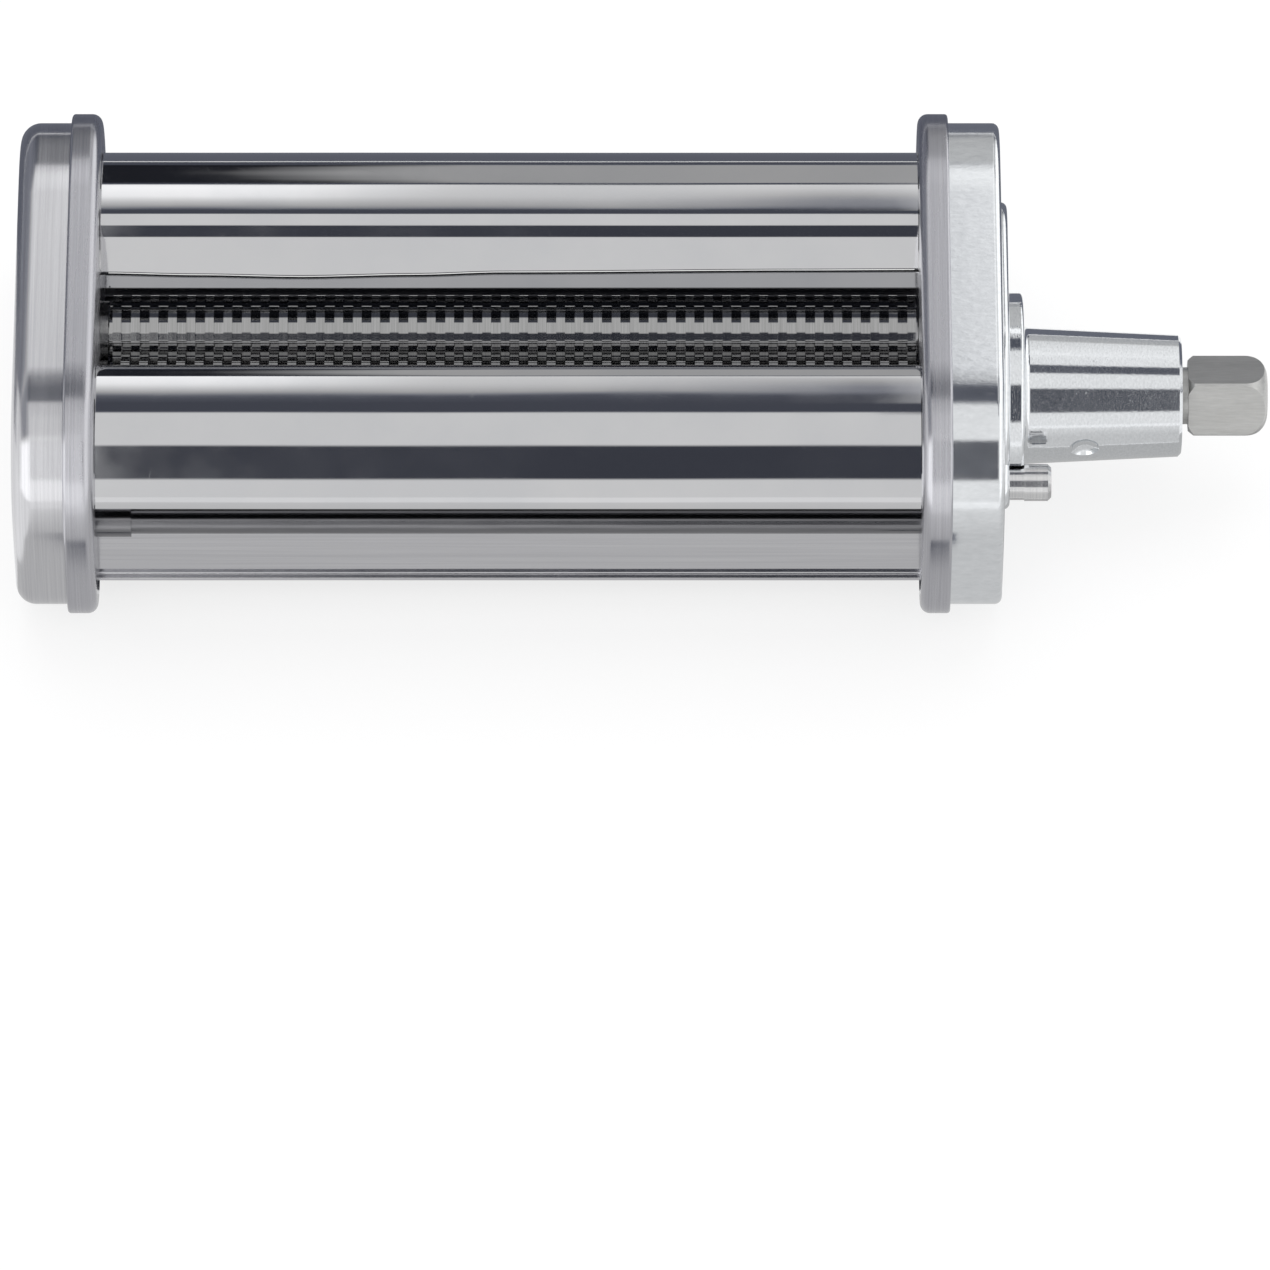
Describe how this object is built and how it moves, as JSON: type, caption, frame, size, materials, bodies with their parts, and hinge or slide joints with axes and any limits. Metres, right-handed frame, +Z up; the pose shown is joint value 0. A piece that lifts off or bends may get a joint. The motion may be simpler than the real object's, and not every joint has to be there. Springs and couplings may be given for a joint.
{
  "type": "pasta cutter attachment",
  "caption": "Pasta roller attachment with interleaved strip cutters under a funnel slot between rounded end caps; tapered hub, locating pin and square shaft let a kitchen mixer drive it.",
  "frame": {"origin": "on the drive axis, in the plane of the hub collar's seat face", "axes": "+X out of the body along the drive shaft, +Z up, so that the feed slot opens upwards and -Y is the front"},
  "size_m": [0.247, 0.1014, 0.0534],
  "materials": {
    "satin_steel": "satin",
    "bright_sheet": "polished",
    "plated_hub": "plated, lightly cast",
    "cutter_steel": "turned",
    "shaft_steel": "machined",
    "zinc_steel": "zinc plated",
    "bush_metal": "sintered",
    "comb_plastic": "moulded"
  },
  "bodies": {
    "housing": {"left_end_cap": "satin_steel", "right_end_cap": "satin_steel", "left_side_frame": "satin_steel", "right_side_frame": "satin_steel", "left_cap_screws": "zinc_steel", "right_cap_screws": "zinc_steel", "drive_hub": "plated_hub", "hub_screws": "zinc_steel", "hub_inner_bush": "bush_metal", "hub_outer_bush": "bush_metal", "locating_pin": "plated_hub", "front_comb": "comb_plastic", "rear_comb": "comb_plastic", "front_tie_rod": "zinc_steel", "rear_tie_rod": "zinc_steel", "front_rod_sleeve": "zinc_steel", "rear_rod_sleeve": "zinc_steel", "lower_tie_rods": "zinc_steel", "left_rod_nuts": "zinc_steel", "right_rod_nuts": "zinc_steel", "front_left_bush": "bush_metal", "front_right_bush": "bush_metal", "rear_left_bush": "bush_metal", "rear_right_bush": "bush_metal", "front_cover": "bright_sheet", "rear_cover": "bright_sheet", "front_guide": "bright_sheet", "rear_guide": "bright_sheet", "front_apron": "bright_sheet", "rear_apron": "bright_sheet"},
    "front_cutter_set": {"front_cutter": "cutter_steel", "drive_shaft": "shaft_steel", "drive_shaft_ring": "zinc_steel", "front_gear": "shaft_steel", "front_gear_key": "shaft_steel", "front_left_ring": "zinc_steel", "front_thrust_washer": "zinc_steel"},
    "rear_cutter_set": {"rear_cutter": "cutter_steel", "rear_gear": "shaft_steel", "rear_gear_key": "shaft_steel", "rear_gear_ring": "zinc_steel", "rear_left_ring": "zinc_steel", "rear_thrust_washer": "zinc_steel"}
  },
  "joints": [
    {"name": "front_cutter_spin", "type": "hinge", "parent": "housing", "child": "front_cutter_set", "pos_m": [-0.1015, 0, 0], "axis": [1, 0, 0], "continuous": true},
    {"name": "rear_cutter_spin", "type": "hinge", "parent": "housing", "child": "rear_cutter_set", "pos_m": [-0.1015, 0.0146, 0], "axis": [1, 0, 0], "continuous": true}
  ],
  "couplings": [
    {"joint": "rear_cutter_spin", "follows": "front_cutter_spin", "ratio": -1}
  ]
}
